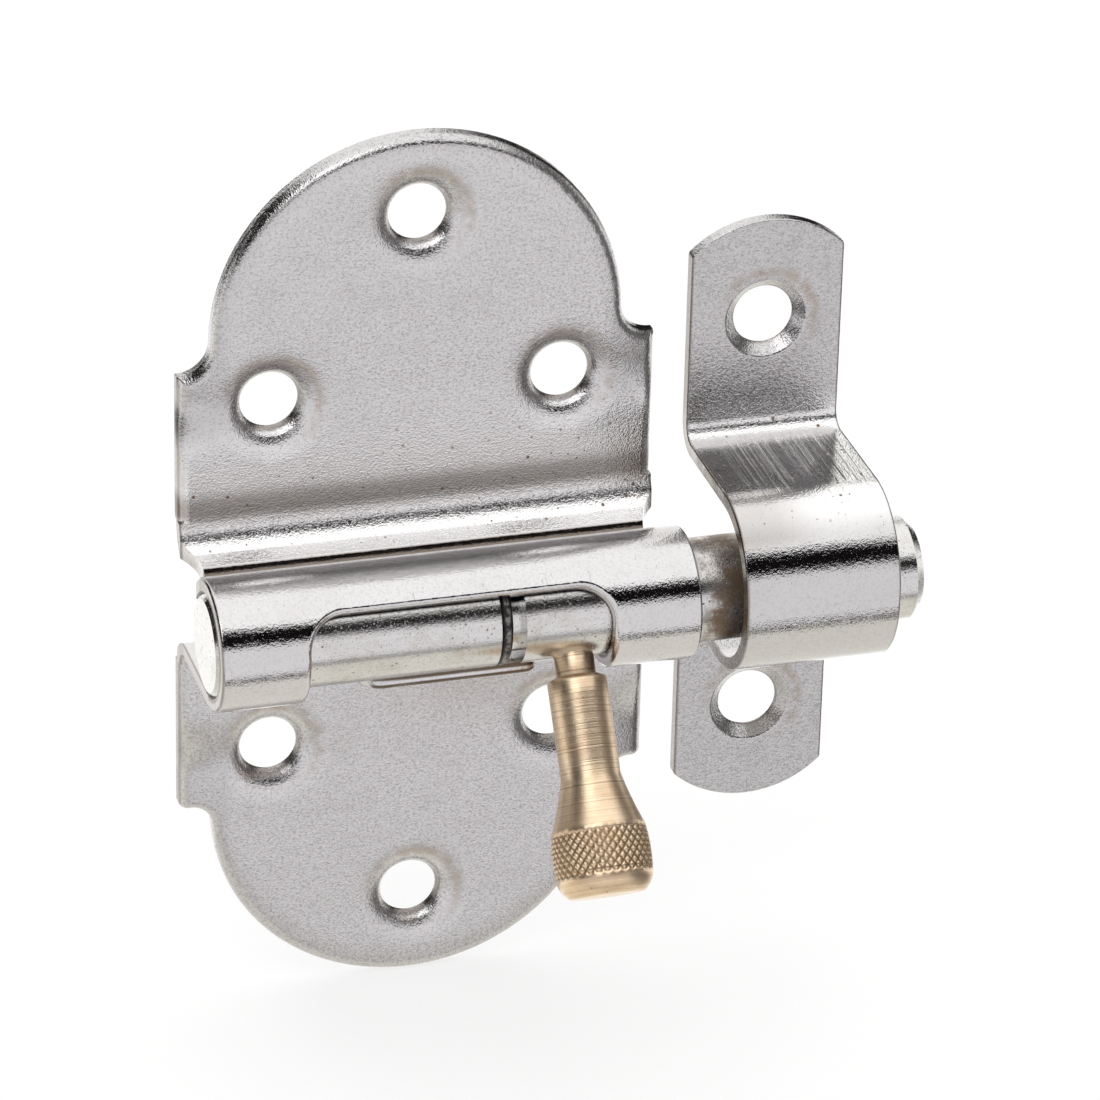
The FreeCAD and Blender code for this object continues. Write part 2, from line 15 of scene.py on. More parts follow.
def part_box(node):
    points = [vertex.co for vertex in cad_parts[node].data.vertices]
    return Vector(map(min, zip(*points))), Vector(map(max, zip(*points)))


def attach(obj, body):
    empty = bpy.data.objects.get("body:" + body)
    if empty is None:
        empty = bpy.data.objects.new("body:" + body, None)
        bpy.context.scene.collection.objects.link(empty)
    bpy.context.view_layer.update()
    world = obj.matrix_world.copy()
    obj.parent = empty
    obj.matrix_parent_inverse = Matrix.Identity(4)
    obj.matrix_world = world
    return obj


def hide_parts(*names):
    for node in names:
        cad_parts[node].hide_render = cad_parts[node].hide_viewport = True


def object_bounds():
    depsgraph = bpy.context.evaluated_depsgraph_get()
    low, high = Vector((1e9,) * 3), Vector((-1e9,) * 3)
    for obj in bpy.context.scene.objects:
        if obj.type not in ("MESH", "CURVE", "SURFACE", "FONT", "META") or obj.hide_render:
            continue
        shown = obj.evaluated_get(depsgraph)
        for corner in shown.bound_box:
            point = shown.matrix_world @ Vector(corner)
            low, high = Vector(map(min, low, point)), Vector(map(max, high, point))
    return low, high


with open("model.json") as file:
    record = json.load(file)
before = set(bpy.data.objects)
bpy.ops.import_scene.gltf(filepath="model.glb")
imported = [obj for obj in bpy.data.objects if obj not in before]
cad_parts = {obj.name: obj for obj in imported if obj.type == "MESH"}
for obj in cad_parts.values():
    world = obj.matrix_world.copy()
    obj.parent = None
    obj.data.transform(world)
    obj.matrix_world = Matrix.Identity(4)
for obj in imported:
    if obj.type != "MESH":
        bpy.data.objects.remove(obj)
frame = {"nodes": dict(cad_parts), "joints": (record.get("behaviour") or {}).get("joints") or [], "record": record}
MM = 0.001
nodes = frame["nodes"]
record = frame["record"]
cad_low, cad_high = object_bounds()
print("the frame's pieces:", sorted(nodes))
print("its box in mm:", [round(v / MM, 1) for v in (*cad_low, *cad_high)])

# %% Places that the finishes need, read from the frame
joints = {joint["name"]: joint for joint in frame["joints"]}
mounts = {mount["name"]: mount for mount in record["mounts"]}
bolt_axis = Vector(joints["knob_turn"]["pos_m"]) / MM


def hole_places(name):
    """Centres of one mount's holes, in millimetres, as (x, z)."""
    mount = mounts[name]
    half_x = mount["dims"].get("spacing_x_mm", 0.0) / 2
    half_z = mount["dims"]["spacing_y_mm"] / 2
    centre_x, _, centre_z = [v / MM for v in mount["pos_m"]]
    sides = (-1, 1) if half_x else (0,)
    return [(centre_x + a * half_x, centre_z + b * half_z) for a in sides for b in (-1, 1)]


case_holes = hole_places("side_holes") + hole_places("end_holes")
keep_holes = hole_places("keep_holes")
print("holes of the case:", [(round(x, 1), round(z, 1)) for x, z in case_holes])

# %% [markdown]
# A finish is a sum of many small maps: grain, stains, specks, scratches. Written with nodes
# alone they are hard to read, so a small class wraps a socket and lets Python's own signs
# add the Math nodes. One method adds any other node.

# %% Wires and finishes
spot_core = 0.4


class Wire:
    """A socket that can be used in an expression."""

    def __init__(self, finish, socket):
        self.finish = finish
        self.socket = socket

    def maths(self, operation, *values):
        sockets = dict(enumerate(values))
        return self.finish.node("ShaderNodeMath", {"operation": operation}, sockets)

    def __add__(self, other):
        return self.maths("ADD", self, other)

    def __radd__(self, other):
        return self.maths("ADD", other, self)

    def __sub__(self, other):
        return self.maths("SUBTRACT", self, other)

    def __rsub__(self, other):
        return self.maths("SUBTRACT", other, self)

    def __mul__(self, other):
        return self.maths("MULTIPLY", self, other)

    def __rmul__(self, other):
        return self.maths("MULTIPLY", other, self)

    def __abs__(self):
        return self.maths("ABSOLUTE", self)

    def between(self, start, end):
        """0 below start, 1 above end, smooth in between; start may be above end."""
        settings = {"interpolation_type": "SMOOTHSTEP"}
        if start <= end:
            return self.finish.node("ShaderNodeMapRange", settings, {0: self, 1: start, 2: end})
        return 1 - self.finish.node("ShaderNodeMapRange", settings, {0: self, 1: end, 2: start})


class Finish:
    """The node tree of a material or of the world."""

    def __init__(self, tree):
        self.tree = tree
        tree.nodes.clear()

    def node(self, kind, settings=None, sockets=None, out=0):
        """Adds a node: first its settings, then the values or links of its sockets."""
        made = self.tree.nodes.new(kind)
        for name, value in (settings or {}).items():
            setattr(made, name, value)
        for key, value in (sockets or {}).items():
            if isinstance(value, Wire):
                self.tree.links.new(value.socket, made.inputs[key])
            else:
                made.inputs[key].default_value = value
        return Wire(self, made.outputs[out])

    def vector(self, operation, *values, out=0, scale=None):
        """Vector Math; with out=1 it gives a number, such as a distance."""
        sockets = dict(enumerate(values))
        if scale is not None:
            sockets["Scale"] = scale
        return self.node("ShaderNodeVectorMath", {"operation": operation}, sockets, out)

    def mix(self, one, other, share):
        """The colour one where share is 0 and other where it is 1."""
        one = (*one, 1.0) if isinstance(one, tuple) else one
        other = (*other, 1.0) if isinstance(other, tuple) else other
        return self.node("ShaderNodeMix", {"data_type": "RGBA"}, {0: share, 6: one, 7: other}, 2)

    def end(self, kind, surface):
        """Gives the shader to the tree's output."""
        output = self.tree.nodes.new(kind)
        self.tree.links.new(surface.socket, output.inputs["Surface"])

    def bump(self, height, depth_mm, normal=None):
        """A Bump node whose full height stands that many millimetres."""
        sockets = {"Height": height, "Strength": 1.0, "Distance": depth_mm * MM}
        if normal is not None:
            sockets["Normal"] = normal
        return self.node("ShaderNodeBump", None, sockets)

    def place(self):
        """Object coordinates in millimetres."""
        coords = self.node("ShaderNodeTexCoord", None, None, "Object")
        return self.vector("SCALE", coords, scale=1 / MM)

    def parts(self, vector):
        """The X, Y and Z of a vector."""
        split = self.node("ShaderNodeSeparateXYZ", None, {0: vector}).socket.node
        return [Wire(self, output) for output in split.outputs]

    def noise(self, vector, scale, detail=2.0, roughness=0.5, stretch=None):
        """Noise from 0 to 1; stretch makes it finer along some axes than along others."""
        if stretch:
            vector = self.vector("MULTIPLY", vector, stretch)
        sockets = {"Vector": vector, "Scale": scale, "Detail": detail, "Roughness": roughness}
        return self.node("ShaderNodeTexNoise", None, sockets)

    def spots(self, vector, scale, size):
        """Round dots of about that share of their spacing, each in a cell of its own."""
        sockets = {"Vector": vector, "Scale": scale, "Randomness": 1.0}
        away = self.node("ShaderNodeTexVoronoi", None, sockets, "Distance")
        return away.between(size, size * spot_core)


def new_finish(name):
    """A new material, and its node tree, still empty."""
    material = bpy.data.materials.new(name)
    material.use_nodes = True
    return material, Finish(material.node_tree)


def close_finish(finish, colour, roughness, metallic, normal):
    """Joins the finished maps to one shader and gives that shader to the surface."""
    sockets = {"Base Color": colour, "Roughness": roughness, "Metallic": metallic}
    sockets["Normal"] = normal
    surface = finish.node("ShaderNodeBsdfPrincipled", None, sockets)
    finish.end("ShaderNodeOutputMaterial", surface)


def dress(node, material):
    """Gives a CAD node's object the material. Its mesh stays as it is."""
    for slot in node.material_slots:
        slot.material = material
    print(node.name, "wears", material.name)


# %% [markdown]
# The case is deep drawn from steel sheet and then plated. The plating is satin on the flat
# lobes, where it keeps the sheet's fine orange-peel grain, and glossier on the barrel, which
# was burnished by the rolling tool. Damp has left tan rings round the dimpled screw holes
# and a few rust specks where water stands, low on the upper lobe and on the shelf above the
# barrel. A painted image could show all that, but it would need an unwrapped mesh and would
# blur close up. Noise, distances and thresholds on Object coordinates stay sharp, need no
# unwrapping, and give every piece marks of its own.

# %% Marks round a screw hole: a ring of stain, and painted shade on the lip
hole_lip = 2.7
lip_width = 0.35
stain_width = 0.9
stain_side = (0.5, 0.0, 0.85)
stain_reach = (-4.0, 3.5)


def from_hole(finish, place, centre):
    """How far a point is from one screw hole's middle, and the way there, seen from the front."""
    flat = finish.vector("MULTIPLY", place, (1.0, 0.0, 1.0))
    middle = (centre[0], 0.0, centre[1])
    way = finish.vector("SUBTRACT", flat, middle)
    return finish.vector("DISTANCE", flat, middle, out=1), way


def ring_stain(finish, place, centre, edge):
    """1 in an uneven ring round one screw hole, strongest on its upper right."""
    away, way = from_hole(finish, place, centre)
    side = finish.vector("DOT_PRODUCT", way, stain_side, out=1)
    band = away.between(edge - stain_width, edge) * away.between(edge + stain_width, edge)
    return band * side.between(*stain_reach)


def lip_shade(finish, place, centre):
    """1 on the lip of one screw hole, which is darkened as painted shade."""
    return from_hole(finish, place, centre)[0].between(hole_lip + lip_width, hole_lip)


# %% Rust specks of two sizes: how many in a millimetre and how large, and what groups them
large_specks = (0.55, 0.12)
large_grouping = 0.5
large_range = (0.36, 0.44)
small_specks = (1.6, 0.19)
small_grouping = 1.1
small_range = (0.52, 0.60)


def rust_specks(finish, place):
    """Round specks, large and small, in loose groups."""
    large = finish.spots(place, *large_specks)
    large = large * finish.noise(place, large_grouping).between(*large_range)
    small = finish.spots(place, *small_specks)
    small = small * finish.noise(place, small_grouping).between(*small_range)
    return large + small


# %% Plated steel, shared by the case and the keep: its colours
plate_colour = (0.62, 0.605, 0.605)
worn_colour = (0.50, 0.485, 0.465)
pore_colour = (0.40, 0.39, 0.39)
# A painted sheen, brighter than the plate, where water runs
painted_sheen_colour = (0.86, 0.85, 0.845)
bare_colour = (0.74, 0.73, 0.73)
drawn_colour = (0.90, 0.89, 0.87)
# The dark colour of soil, used too for painted shade in creases, on lips and round the slot
grime_and_shade = (0.13, 0.10, 0.075)
tan_stain = (0.34, 0.25, 0.15)
rust_brown = (0.20, 0.10, 0.045)

# %% Its noises: cycles in a millimetre, octaves, each octave's strength beside the last
cloud_noise = (0.22, 5.0, 0.6)
patch_noise = (0.9, 4.0, 0.65)
grain_noise = (3.6, 3.0, 0.6)
pore_noise = (7.0, 1.0, 0.5)
swell_noise = (0.12, 2.0, 0.5)
scratch_noise = (1.0, 3.0, 0.6, (5.0, 0.4, 0.35))

# %% Its ranges: the value at which a mark begins, and the value at which it is full
worn_range = (0.45, 0.8)
grain_range = (0.52, 0.36)
pore_range = (0.52, 0.28)
rim_range = (0.0, 0.2)
stain_range = (0.30, 0.62)
film_range = (0.45, 0.7)
soil_and_shade_range = (0.2, 0.55)
scratch_range = (0.68, 0.71)
scratch_patch = (0.52, 0.6)

# %% How much of each mark's colour shows
worn_share = 0.35
grain_share = 0.45
pore_share = 0.3
rim_share = 0.3
burnished_share = 0.5
stain_share = 0.45
painted_sheen_share = 0.75
film_share = 0.05
wet_rust = 0.9
dry_rust = 0.10
soil_and_shade_clouds = 0.8
soil_and_shade_pores = 0.4
scratch_share = 0.4
drawn_share = 0.8
lip_shade_share = 0.7

# %% Its roughness: the plate's own, what each mark adds, what burnishing takes away
plate_rough = 0.10
cloud_rough = 0.04
stain_rough = 0.12
rust_rough = 0.3
soil_and_shade_rough = 0.1
burnished_smooth = 0.06

# How far a mark hides the metal
rust_cover = 0.8
stain_cover = 0.2

# %% The heights of its bumps, in millimetres, and two shares of them
peel_height = 0.034
dent_height = 0.02
wave_height = 0.06
nick_height = 0.03
roll_height = 1.0
burnished_flat = 0.62
rust_depth = 0.6


# %% The plated finish
def plated(name, holes, stain_edge, gloss, wet_and_sheen, drag, dirt_and_shade, roll):
    """Plated sheet steel. The last five values are functions that say, from the place, where
    the sheet is burnished, where water stands on it and a painted sheen brightens it, where a
    tool dragged along it, where soil lies and where painted shade darkens it, and how high its
    face stands before it rolls back towards a rim."""
    material, finish = new_finish(name)
    place = finish.place()
    x, y, z = finish.parts(place)
    shine = gloss(finish, x, y, z)
    damp_and_sheen = wet_and_sheen(finish, x, y, z)
    drawn = drag(finish, x, y, z)
    rolled = roll(finish, x, y, z)
    cloud = finish.noise(place, *cloud_noise)
    patch = finish.noise(place, *patch_noise)
    grain = finish.noise(place, *grain_noise)
    pores = finish.noise(place, *pore_noise)
    swell = finish.noise(place, *swell_noise)

    colour = finish.mix(plate_colour, worn_colour, cloud.between(*worn_range) * worn_share)
    specked = grain.between(*grain_range) * grain_share
    specked = specked + (1 - rolled).between(*rim_range) * rim_share
    specked = specked + pores.between(*pore_range) * pore_share
    colour = finish.mix(colour, pore_colour, specked * (1 - shine * burnished_share))

    stain = 0.0
    lip_shades = 0.0
    for centre in holes:
        stain = ring_stain(finish, place, centre, stain_edge) + stain
        lip_shades = lip_shade(finish, place, centre) + lip_shades
    stain = stain * patch.between(*stain_range)
    colour = finish.mix(colour, tan_stain, stain * stain_share)
    # Painted sheen: the plate is painted brighter where the water runs.
    colour = finish.mix(colour, painted_sheen_colour, damp_and_sheen * painted_sheen_share)
    colour = finish.mix(colour, tan_stain, damp_and_sheen * patch.between(*film_range) * film_share)
    rust = rust_specks(finish, place) * (damp_and_sheen * wet_rust + dry_rust)
    colour = finish.mix(colour, rust_brown, rust)

    # Soil, and painted shade on the holes' lips and wherever the piece's function puts it, in one dark colour.
    soiled_and_shaded = dirt_and_shade(finish, x, y, z) + lip_shades * lip_shade_share
    soiled_and_shaded = soiled_and_shaded * (cloud * soil_and_shade_clouds + pores * soil_and_shade_pores).between(*soil_and_shade_range)
    colour = finish.mix(colour, grime_and_shade, soiled_and_shaded)
    lines = finish.noise(place, *scratch_noise)
    scratch = lines.between(*scratch_range) * patch.between(*scratch_patch)
    colour = finish.mix(colour, bare_colour, scratch * scratch_share)
    colour = finish.mix(colour, drawn_colour, drawn * drawn_share)

    rough = plate_rough + cloud * cloud_rough + stain * stain_rough + rust * rust_rough
    rough = rough + soiled_and_shaded * soil_and_shade_rough - shine * burnished_smooth
    metal = 1.0 - rust * rust_cover - stain * stain_cover
    relief = finish.bump((grain + pores) * (1 - shine * burnished_flat), peel_height)
    relief = finish.bump(patch, dent_height, relief)
    relief = finish.bump(swell, wave_height, relief)
    relief = finish.bump(rolled, roll_height, relief)
    relief = finish.bump(1 - scratch - rust * rust_depth - drawn, nick_height, relief)
    close_finish(finish, colour, rough, metal, relief)
    return material


def nowhere(finish, x, y, z):
    """0 all over, for a mark that a piece doesn't have."""
    return x * 0.0


# %% [markdown]
# The case's own marks. Painted shade darkens the crease behind the barrel, the barrel's
# top, the bend above the shelf and the slot, soil lies on the sheared ends, and a painted
# sheen brightens the plate where water runs down to the shelf. The marks could be painted by
# hand on an unwrapped copy. Products of soft steps along X, Y and Z need no copy and are easy
# to move, and each step is a pair: where the mark begins, and where it is full.

# %% Where the case is burnished, and where water stands and a painted sheen brightens it
barrel_behind_y = (-2.6, -3.4)
wet_sheen_top_z = (17.0, 9.0)
wet_sheen_foot_z = (3.0, 4.5)
wet_sheen_front_y = (-7.2, -6.4)


def barrel_gloss(finish, x, y, z):
    """1 on the rolled barrel and its shelf, 0 on the flat lobes."""
    return y.between(*barrel_behind_y)


def above_barrel(finish, x, y, z):
    """1 low on the upper lobe and on the shelf, where water stands and a painted sheen brightens the plate."""
    return z.between(*wet_sheen_top_z) * z.between(*wet_sheen_foot_z) * y.between(*wet_sheen_front_y)


# %% Painted shade round the slot
ledge_top_z = (-5.45, -5.6)
ledge_foot_z = (-6.3, -6.2)
ledge_y = (-12.9, -13.1)
slit_foot_z = (-5.3, -5.1)
slit_top_z = (-4.0, -4.3)
slit_y = (-12.2, -12.6)
slit_x = (-8.0, -3.0)
slot_ends_x = (8.4, 8.0)
slot_lip = 5.05
slot_lip_fade = 2.0
lip_y = (-12.6, -13.2)


def slot_shade(x, y, z):
    """Painted shade on the slot's ledge, in the slit above it and on the slot's inner lip."""
    under = z.between(*ledge_top_z) * z.between(*ledge_foot_z) * y.between(*ledge_y)
    slit = z.between(*slit_foot_z) * z.between(*slit_top_z) * y.between(*slit_y)
    slit = slit * x.between(*slit_x)
    off_y = y - bolt_axis.y
    from_axis = off_y * off_y + z * z
    lip = from_axis.between(slot_lip ** 2 + slot_lip_fade, slot_lip ** 2)
    return (under + slit) * abs(x).between(*slot_ends_x) + lip * y.between(*lip_y)


# %% The rest of the case's painted shade, and the soil on its sheared ends
case_low, case_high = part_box("case")
case_half = (case_high.x - case_low.x) / 2 / MM
crease_back_y = (-4.35, -4.7)
crease_front_y = (-7.4, -6.6)
crease_z = (1.5, 2.4)
crease_share = 0.9
top_back_y = (-9.2, -9.8)
top_front_y = (-14.0, -10.4)
top_z = (3.0, 4.0)
top_share = 0.25
bend_top_z = (10.0, 8.2)
bend_foot_z = (6.6, 7.4)
bend_y = (-5.0, -4.2)
bend_share = 0.5
end_x = (case_half - 0.3, case_half - 0.05)
end_share = 0.65


def case_grime_and_shade(finish, x, y, z):
    """How much painted shade darkens the crease, the barrel's top, the bend above the shelf and
    the slot, and how much soil lies on the sheared ends."""
    crease = y.between(*crease_back_y) * y.between(*crease_front_y) * z.between(*crease_z)
    top = y.between(*top_back_y) * y.between(*top_front_y) * z.between(*top_z)
    bend = z.between(*bend_top_z) * z.between(*bend_foot_z) * y.between(*bend_y)
    ends = abs(x).between(*end_x)
    marks = crease * crease_share + top * top_share + bend * bend_share
    return marks + ends * end_share + slot_shade(x, y, z)


# %% How the lobes roll back, and the case's finish
lobe_radius = 18.95
lobe_middles = ((1, 23.2), (-1, -23.75))
lobe_shoulders = (12.0, 19.0)
roll_width = 3.0
roll_steepness = 0.034
case_stain_edge = 4.5


def lobe_roll(finish, x, y, z):
    """The lobes' faces bend gently back over the last millimetres before their rims."""
    roll = 0.0
    flat = finish.node("ShaderNodeCombineXYZ", None, {0: x, 1: 0.0, 2: z})
    for side, middle in lobe_middles:
        away = finish.vector("DISTANCE", flat, (0.0, 0.0, middle), out=1)
        past = away - (lobe_radius - roll_width)
        past = past.maths("MAXIMUM", past, 0.0) * (z * side).between(*lobe_shoulders)
        roll = past * past * roll_steepness + roll
    return 1.0 - roll


case_finish = plated("plated_case", case_holes, case_stain_edge,
                     barrel_gloss, above_barrel, nowhere, case_grime_and_shade, lobe_roll)
dress(nodes["case"], case_finish)

# %% [markdown]
# The keep is a strap of the same plated sheet, bent over a former. The former dragged along
# it and left bundles of fine parallel lines down the upper bend, which catch the light. The
# lines could be drawn one by one. Noise that varies along X alone gives them all at once,
# each with a strength of its own, and a second one gives each line its own ends.

# %% The keep's places, its gloss, and where water runs and a painted sheen brightens it
keep_low, keep_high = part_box("keep")
keep_middle_x = (keep_low.x + keep_high.x) / 2 / MM
keep_middle_z = (keep_low.z + keep_high.z) / 2 / MM
keep_half = (keep_high.x - keep_low.x) / 2 / MM
loop_half_height = 8.5
loop_top_z = keep_middle_z + loop_half_height
loop_behind_y = (-2.2, -4.0)
damp_sheen_foot_z = (loop_top_z - 2.5, loop_top_z - 0.5)
damp_sheen_top_z = (loop_top_z + 4.0, loop_top_z + 1.0)
print("the keep's loop ends at z =", round(loop_top_z, 1), "mm")


def keep_gloss(finish, x, y, z):
    """1 on the loop, 0 on the flanges."""
    return y.between(*loop_behind_y)


def keep_damp_and_sheen(finish, x, y, z):
    """1 on the upper bend, where water runs down the flange and a painted sheen brightens the strap."""
    return z.between(*damp_sheen_foot_z) * z.between(*damp_sheen_top_z)


# %% The lines that the former drew
bundles = ((-2.6, 2.2), (3.4, 2.6))
bundle_fade = 0.3
line_noise = (3.4, 2.0, 0.8)
line_range = (0.52, 0.60)
line_end_noise = (1.7, 1.0, 0.5)
line_spread = 9.0
line_front_y = (-12.0, -10.5)
line_back_y = (-2.2, -3.2)
line_foot_z = (loop_top_z - 4.0, loop_top_z - 3.0)


def lines_over(finish, run, scale, octaves, roughness):
    """Noise that varies with one measure alone, so that it makes lines or rings."""
    sockets = {"W": run, "Scale": scale, "Detail": octaves, "Roughness": roughness}
    return finish.node("ShaderNodeTexNoise", {"noise_dimensions": "1D"}, sockets)


def former_drag(finish, x, y, z):
    """Fine lines along the strap, in two bundles over its upper bend, each line with ends
    of its own."""
    across = lines_over(finish, x, *line_noise)
    ends = lines_over(finish, x, *line_end_noise)
    reach = 0.0
    for middle, half in bundles:
        off = abs(x - (keep_middle_x + middle))
        reach = off.between(half + bundle_fade, half - bundle_fade) + reach
    run = (y + (ends - 0.5) * line_spread).between(*line_front_y) * y.between(*line_back_y)
    return across.between(*line_range) * reach * run * z.between(*line_foot_z)


# %% The keep's soil and darker bend, and its finish
side_x = (keep_half - 0.3, keep_half - 0.05)
side_share = 0.65
keep_bend_z = (loop_top_z - 3.5, loop_top_z - 2.0)
keep_bend_y = (-3.5, -5.5)
keep_bend_x = (2.0, -5.0)
keep_bend_share = 0.35
keep_stain_edge = 4.6


def keep_grime_and_dark_bend(finish, x, y, z):
    """How much soil lies on the strap's sheared sides, and how much darker it is over its upper bend."""
    sides = abs(x - keep_middle_x).between(*side_x)
    bend = z.between(*keep_bend_z) * y.between(*keep_bend_y)
    bend = bend * (x - keep_middle_x).between(*keep_bend_x)
    return sides * side_share + bend * keep_bend_share


keep_finish = plated("plated_keep", keep_holes, keep_stain_edge,
                     keep_gloss, keep_damp_and_sheen, former_drag, keep_grime_and_dark_bend, nowhere)
dress(nodes["keep"], keep_finish)

# %% [markdown]
# The rod is drawn steel under the same plating. It is never polished, so it shows small pits
# and a yellowish tone, and where it slides in the barrel the plating is rubbed along it. The
# case's finish would do with other values, but its marks belong to fixed places, and the rod
# turns and slides. So the rod has a finish of its own, whose marks go right round it, all
# but those of the saw on its tip.

# %% The rod's colours
rod_colour = (0.62, 0.61, 0.60)
rod_yellowed = (0.52, 0.495, 0.45)
rod_pore_colour = (0.42, 0.405, 0.385)
rod_rubbed_colour = (0.70, 0.69, 0.67)
pit_colour = (0.16, 0.11, 0.07)
tarnish_colour = (0.15, 0.095, 0.05)
sawn_colour = (0.07, 0.065, 0.06)

# %% Its noises and spots, and their ranges
rod_cloud_noise = (0.3, 5.0, 0.65)
rod_grain_noise = (4.2, 3.0, 0.7)
rub_noise = (1.0, 3.0, 0.6, (0.12, 2.8, 2.8))
saw_noise = (1.0, 2.0, 0.6, (1.0, 0.5, 2.4))
pits_spots = (1.5, 0.2)
pits_grouping = 0.8
tiny_spots = (3.6, 0.26)
pits_range = (0.42, 0.6)
rub_range = (0.5, 0.72)
yellow_range = (0.45, 0.75)
rod_pore_range = (0.5, 0.25)
tarnish_range = (0.46, 0.72)
saw_range = (0.46, 0.56)

# %% Where the saw's marks and the tarnish are
rod_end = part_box("bolt")[1].x / MM
sawn_x = (rod_end - 1.3, rod_end - 0.9)
sawn_y = (-13.6, -10.5)
tarnish_start = case_high.x / MM - 0.6
tarnish_end = keep_low.x / MM + 0.4
tarnish_left_x = (tarnish_start, tarnish_start + 2.2)
tarnish_right_x = (tarnish_end + 2.6, tarnish_end)
print("the rod is tarnished from x =", round(tarnish_start, 1), "mm to",
      round(tarnish_end, 1), "mm")

# %% How strong the rod's marks are, in colour, roughness, metal and height
rod_pore_share = 0.5
rub_share = 0.4
pits_share = 0.75
tiny_share = 0.35
tarnish_grain = 0.3
tarnish_share = 0.9
sawn_share = 0.75
rod_rough = 0.12
rod_cloud_rough = 0.08
pits_rough = 0.3
tarnish_rough = 0.2
pits_cover = 0.5
tarnish_cover = 0.35
rod_peel_height = 0.02
pock_height = 0.02
tiny_depth = 0.4


# %% The rod's finish
def rod(name):
    """Plated rod steel, pitted and rubbed, and tarnished between the case and the keep."""
    material, finish = new_finish(name)
    place = finish.place()
    x, y, _ = finish.parts(place)
    cloud = finish.noise(place, *rod_cloud_noise)
    grain = finish.noise(place, *rod_grain_noise)
    pits = finish.spots(place, *pits_spots)
    pits = pits * finish.noise(place, pits_grouping).between(*pits_range)
    tiny = finish.spots(place, *tiny_spots)
    rubbed = finish.noise(place, *rub_noise).between(*rub_range)
    colour = finish.mix(rod_colour, rod_yellowed, cloud.between(*yellow_range))
    pores = grain.between(*rod_pore_range)
    colour = finish.mix(colour, rod_pore_colour, pores * rod_pore_share)
    colour = finish.mix(colour, rod_rubbed_colour, rubbed * rub_share)
    colour = finish.mix(colour, pit_colour, pits * pits_share + tiny * tiny_share)

    tarnish = x.between(*tarnish_left_x)
    tarnish = tarnish * x.between(*tarnish_right_x)
    tarnish = tarnish * (cloud + grain * tarnish_grain).between(*tarnish_range)
    colour = finish.mix(colour, tarnish_colour, tarnish * tarnish_share)
    sawn = finish.noise(place, *saw_noise).between(*saw_range)
    sawn = sawn * x.between(*sawn_x) * y.between(*sawn_y)
    colour = finish.mix(colour, sawn_colour, sawn * sawn_share)

    rough = rod_rough + cloud * rod_cloud_rough + pits * pits_rough + tarnish * tarnish_rough
    metal = 1.0 - pits * pits_cover - tarnish * tarnish_cover
    relief = finish.bump(grain, rod_peel_height)
    relief = finish.bump(1 - pits - tiny * tiny_depth, pock_height, relief)
    close_finish(finish, colour, rough, metal, relief)
    return material


dress(nodes["bolt"], rod("plated_rod"))

# %% [markdown]
# The spring ring is blackened wire. Oil makes it almost black, and its outer side is rubbed
# bare by the barrel. The edge of the rubbed part could be a line, but wear starts in spots,
# so what the distance from the rod's axis gives is multiplied by noise.

# %% The spring ring's finish
oiled_black = (0.012, 0.011, 0.011)
dry_black = (0.05, 0.045, 0.04)
ring_bare_colour = (0.30, 0.29, 0.28)
oil_noise = (1.4, 4.0, 0.6)
dry_range = (0.4, 0.7)
rubbed_radii = (4.60, 4.72)
rubbed_patch = (0.4, 0.6)
wire_rough = 0.30
oil_rough = 0.2
black_metal = 0.4
wire_relief = 0.01


def blackened(name):
    """Black spring wire that shines through where it is rubbed."""
    material, finish = new_finish(name)
    place = finish.place()
    cloud = finish.noise(place, *oil_noise)
    axis = (0.0, bolt_axis.y, bolt_axis.z)
    across = finish.vector("MULTIPLY", place, (0.0, 1.0, 1.0))
    from_axis = finish.vector("DISTANCE", across, axis, out=1)
    rubbed = from_axis.between(*rubbed_radii) * cloud.between(*rubbed_patch)
    colour = finish.mix(oiled_black, dry_black, cloud.between(*dry_range))
    colour = finish.mix(colour, ring_bare_colour, rubbed)
    rough = wire_rough + cloud * oil_rough
    metal = black_metal + rubbed * (1 - black_metal)
    close_finish(finish, colour, rough, metal, finish.bump(cloud, wire_relief))
    return material


dress(nodes["spring_ring"], blackened("blackened_wire"))

# %% [markdown]
# The knob is turned from brass bar and knurled. In the frame it is smooth. A bump could
# draw the knurl, but its outline would stay smooth, so the knob is turned again here: a
# profile is spun round its axis, and two crossing families of V cuts are sunk into the
# band. Where they cross, they leave small pyramids. How deep each point is cut is stored
# on the mesh, so that the finish can darken the cuts.

# %% The knob's sizes, along its own axis from the rod's axis, in millimetres
knob_low, knob_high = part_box("knob")
knob_x = (knob_low.x + knob_high.x) / 2 / MM
knob_tilt = math.radians(-55.0)
knob_axis = Vector((0.0, -math.cos(knob_tilt), math.sin(knob_tilt)))
spigot_foot = -1.5
stem_radius = 1.8
stem_end = 6.4
grip_start = 6.8
grip_radius = 2.7
grip_end = 15.6
knurl_start = 20.4
knurl_start_radius = 4.25
knurl_end = 24.6
knurl_end_radius = 4.35
knob_end = 26.3
end_radius = 3.4
grip_chamfer = 0.08
grip_shoulder = 0.1
flare_hollow = 0.1
knurl_bow = 0.15
end_bow = 0.25

# %% The knurl's cuts, and into how many steps the profile is divided
cut_depth = 0.17
cut_sharpness = 1.35
cut_fade = 0.25
cuts_round = 34
cut_pitch = 0.92
steps_per_cut = 8
stem_steps = 4
shoulder_steps = 2
grip_steps = 6
flare_steps = 12
knurl_steps = 46
end_steps = 8
straight = 0.0
merge_distance = 0.0005


